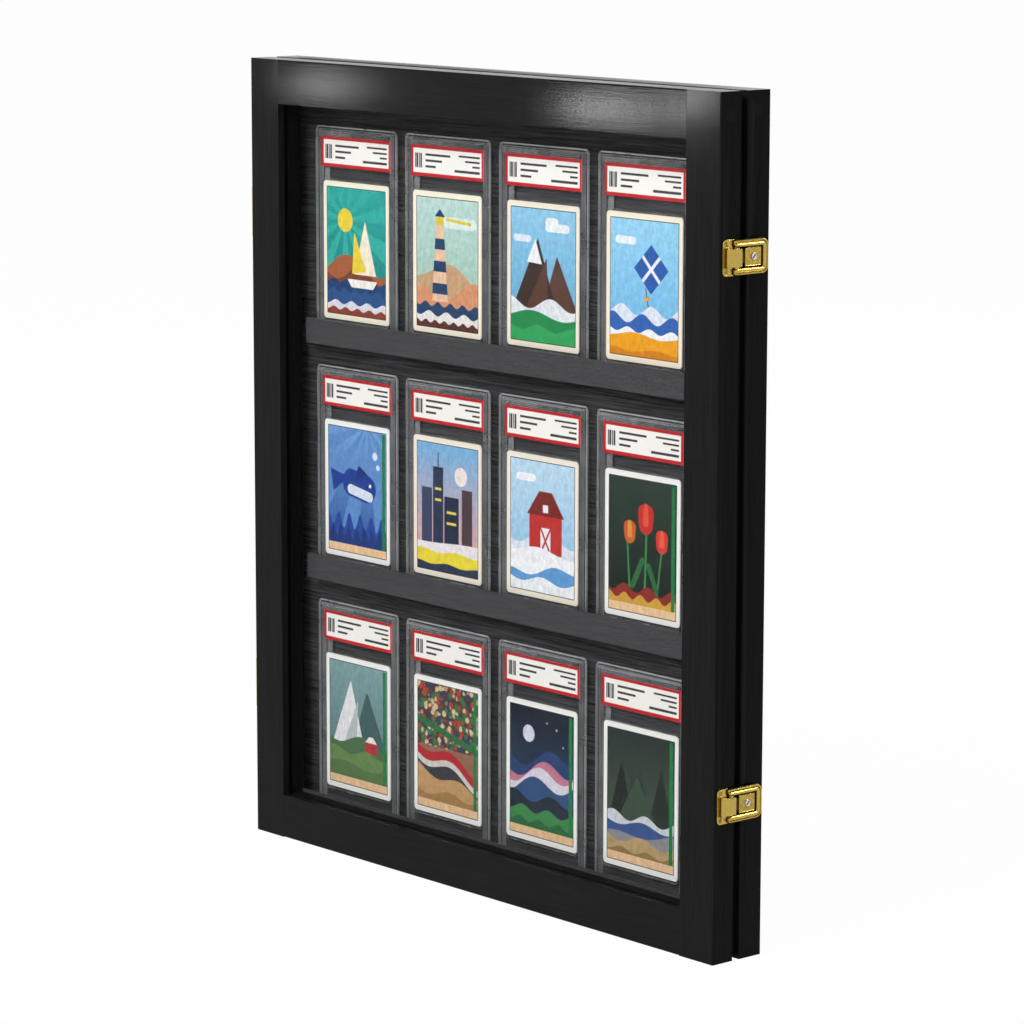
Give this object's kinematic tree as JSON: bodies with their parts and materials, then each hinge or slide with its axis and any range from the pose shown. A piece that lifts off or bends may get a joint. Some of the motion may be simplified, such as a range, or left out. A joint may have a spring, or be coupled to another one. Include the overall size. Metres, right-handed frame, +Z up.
{
  "type": "trading card display case",
  "caption": "Wall display case with a hinged clear-fronted door, ledges that hold graded card slabs against a grained panel, and lockable ring latches on its side.",
  "frame": {"origin": "middle of the face that the box stands on, under its bottom board", "axes": "+Z up the case, -Y out through the door, +Y to the wall, +X to the latch side"},
  "size_m": [0.4447, 0.039, 0.512],
  "materials": {
    "black_lacquered_wood": "satin black lacquer with fine orange peel",
    "black_bead_wood": "satin black",
    "black_grained_panel": "black stained with a horizontal grain",
    "ledge_strip": "black with a worn satin sheen",
    "clear_acrylic_pane": "clear polished acrylic",
    "clear_slab_plastic": "clear moulded shell",
    "printed_card": "printed card with a light gloss",
    "beech_dowel": "lacquered over",
    "nickel_cylinder": "bright",
    "zinc_screw": "zinc plated",
    "polished_brass": "polished"
  },
  "bodies": {
    "case": {"box_bottom": "black_lacquered_wood", "box_dowels": "beech_dowel", "box_hardware_screws": "polished_brass", "box_side_left": "black_lacquered_wood", "box_side_right": "black_lacquered_wood", "box_top": "black_lacquered_wood", "display_panel": "black_grained_panel", "hanger_left": "polished_brass", "hanger_right": "polished_brass", "hinge_box_leaf_lower": "polished_brass", "hinge_box_leaf_upper": "polished_brass", "hinge_pins": "polished_brass", "latch_base_lower": "polished_brass", "latch_base_upper": "polished_brass", "ledge_bottom": "ledge_strip", "ledge_middle": "ledge_strip", "ledge_screws": "zinc_screw", "ledge_upper": "ledge_strip"},
    "door": {"door_beads": "black_bead_wood", "door_dowels": "beech_dowel", "door_hardware_screws": "polished_brass", "door_pane": "clear_acrylic_pane", "door_rail_bottom": "black_lacquered_wood", "door_rail_top": "black_lacquered_wood", "door_stile_left": "black_lacquered_wood", "door_stile_right": "black_lacquered_wood", "hinge_door_leaf_lower": "polished_brass", "hinge_door_leaf_upper": "polished_brass", "latch_keeper_lower": "polished_brass", "latch_keeper_upper": "polished_brass"},
    "ring_upper": {"latch_ring_upper": "polished_brass"},
    "claw_upper": {"latch_claw_upper": "polished_brass"},
    "lock_upper": {"lock_cylinder_upper": "nickel_cylinder"},
    "ring_lower": {"latch_ring_lower": "polished_brass"},
    "claw_lower": {"latch_claw_lower": "polished_brass"},
    "lock_lower": {"lock_cylinder_lower": "nickel_cylinder"},
    "slab_r1c1": {"slab_case_r1c1": "clear_slab_plastic", "card_insert_r1c1": "printed_card"},
    "slab_r1c2": {"slab_case_r1c2": "clear_slab_plastic", "card_insert_r1c2": "printed_card"},
    "slab_r1c3": {"slab_case_r1c3": "clear_slab_plastic", "card_insert_r1c3": "printed_card"},
    "slab_r1c4": {"slab_case_r1c4": "clear_slab_plastic", "card_insert_r1c4": "printed_card"},
    "slab_r2c1": {"slab_case_r2c1": "clear_slab_plastic", "card_insert_r2c1": "printed_card"},
    "slab_r2c2": {"slab_case_r2c2": "clear_slab_plastic", "card_insert_r2c2": "printed_card"},
    "slab_r2c3": {"slab_case_r2c3": "clear_slab_plastic", "card_insert_r2c3": "printed_card"},
    "slab_r2c4": {"slab_case_r2c4": "clear_slab_plastic", "card_insert_r2c4": "printed_card"},
    "slab_r3c1": {"slab_case_r3c1": "clear_slab_plastic", "card_insert_r3c1": "printed_card"},
    "slab_r3c2": {"slab_case_r3c2": "clear_slab_plastic", "card_insert_r3c2": "printed_card"},
    "slab_r3c3": {"slab_case_r3c3": "clear_slab_plastic", "card_insert_r3c3": "printed_card"},
    "slab_r3c4": {"slab_case_r3c4": "clear_slab_plastic", "card_insert_r3c4": "printed_card"}
  },
  "joints": [
    {"name": "door_swing", "type": "hinge", "parent": "case", "child": "door", "pos_m": [-0.2197, -0.0115, 0], "axis": [0, 0, -1], "range_deg": [0, 180]},
    {"name": "ring_fold_upper", "type": "hinge", "parent": "door", "child": "ring_upper", "pos_m": [0.2204, -0.01965, 0.417], "axis": [0, 0, -1], "range_deg": [0, 120]},
    {"name": "claw_lift_upper", "type": "hinge", "parent": "door", "child": "claw_upper", "pos_m": [0.2209, -0.02535, 0.417], "axis": [0, 0, -1], "range_deg": [0, 90]},
    {"name": "lock_turn_upper", "type": "hinge", "parent": "case", "child": "lock_upper", "pos_m": [0.2195, -0.00575, 0.417], "axis": [1, 0, 0], "range_deg": [0, 90]},
    {"name": "ring_fold_lower", "type": "hinge", "parent": "door", "child": "ring_lower", "pos_m": [0.2204, -0.01965, 0.095], "axis": [0, 0, -1], "range_deg": [0, 120]},
    {"name": "claw_lift_lower", "type": "hinge", "parent": "door", "child": "claw_lower", "pos_m": [0.2209, -0.02535, 0.095], "axis": [0, 0, -1], "range_deg": [0, 90]},
    {"name": "lock_turn_lower", "type": "hinge", "parent": "case", "child": "lock_lower", "pos_m": [0.2195, -0.00575, 0.095], "axis": [1, 0, 0], "range_deg": [0, 90]},
    {"name": "slab_lift_r1c1", "type": "slide", "parent": "case", "child": "slab_r1c1", "axis": [0, 0, 1], "range_m": [0, 0.012]},
    {"name": "slab_lift_r1c2", "type": "slide", "parent": "case", "child": "slab_r1c2", "axis": [0, 0, 1], "range_m": [0, 0.012]},
    {"name": "slab_lift_r1c3", "type": "slide", "parent": "case", "child": "slab_r1c3", "axis": [0, 0, 1], "range_m": [0, 0.012]},
    {"name": "slab_lift_r1c4", "type": "slide", "parent": "case", "child": "slab_r1c4", "axis": [0, 0, 1], "range_m": [0, 0.012]},
    {"name": "slab_lift_r2c1", "type": "slide", "parent": "case", "child": "slab_r2c1", "axis": [0, 0, 1], "range_m": [0, 0.012]},
    {"name": "slab_lift_r2c2", "type": "slide", "parent": "case", "child": "slab_r2c2", "axis": [0, 0, 1], "range_m": [0, 0.012]},
    {"name": "slab_lift_r2c3", "type": "slide", "parent": "case", "child": "slab_r2c3", "axis": [0, 0, 1], "range_m": [0, 0.012]},
    {"name": "slab_lift_r2c4", "type": "slide", "parent": "case", "child": "slab_r2c4", "axis": [0, 0, 1], "range_m": [0, 0.012]},
    {"name": "slab_lift_r3c1", "type": "slide", "parent": "case", "child": "slab_r3c1", "axis": [0, 0, 1], "range_m": [0, 0.012]},
    {"name": "slab_lift_r3c2", "type": "slide", "parent": "case", "child": "slab_r3c2", "axis": [0, 0, 1], "range_m": [0, 0.012]},
    {"name": "slab_lift_r3c3", "type": "slide", "parent": "case", "child": "slab_r3c3", "axis": [0, 0, 1], "range_m": [0, 0.012]},
    {"name": "slab_lift_r3c4", "type": "slide", "parent": "case", "child": "slab_r3c4", "axis": [0, 0, 1], "range_m": [0, 0.012]}
  ]
}
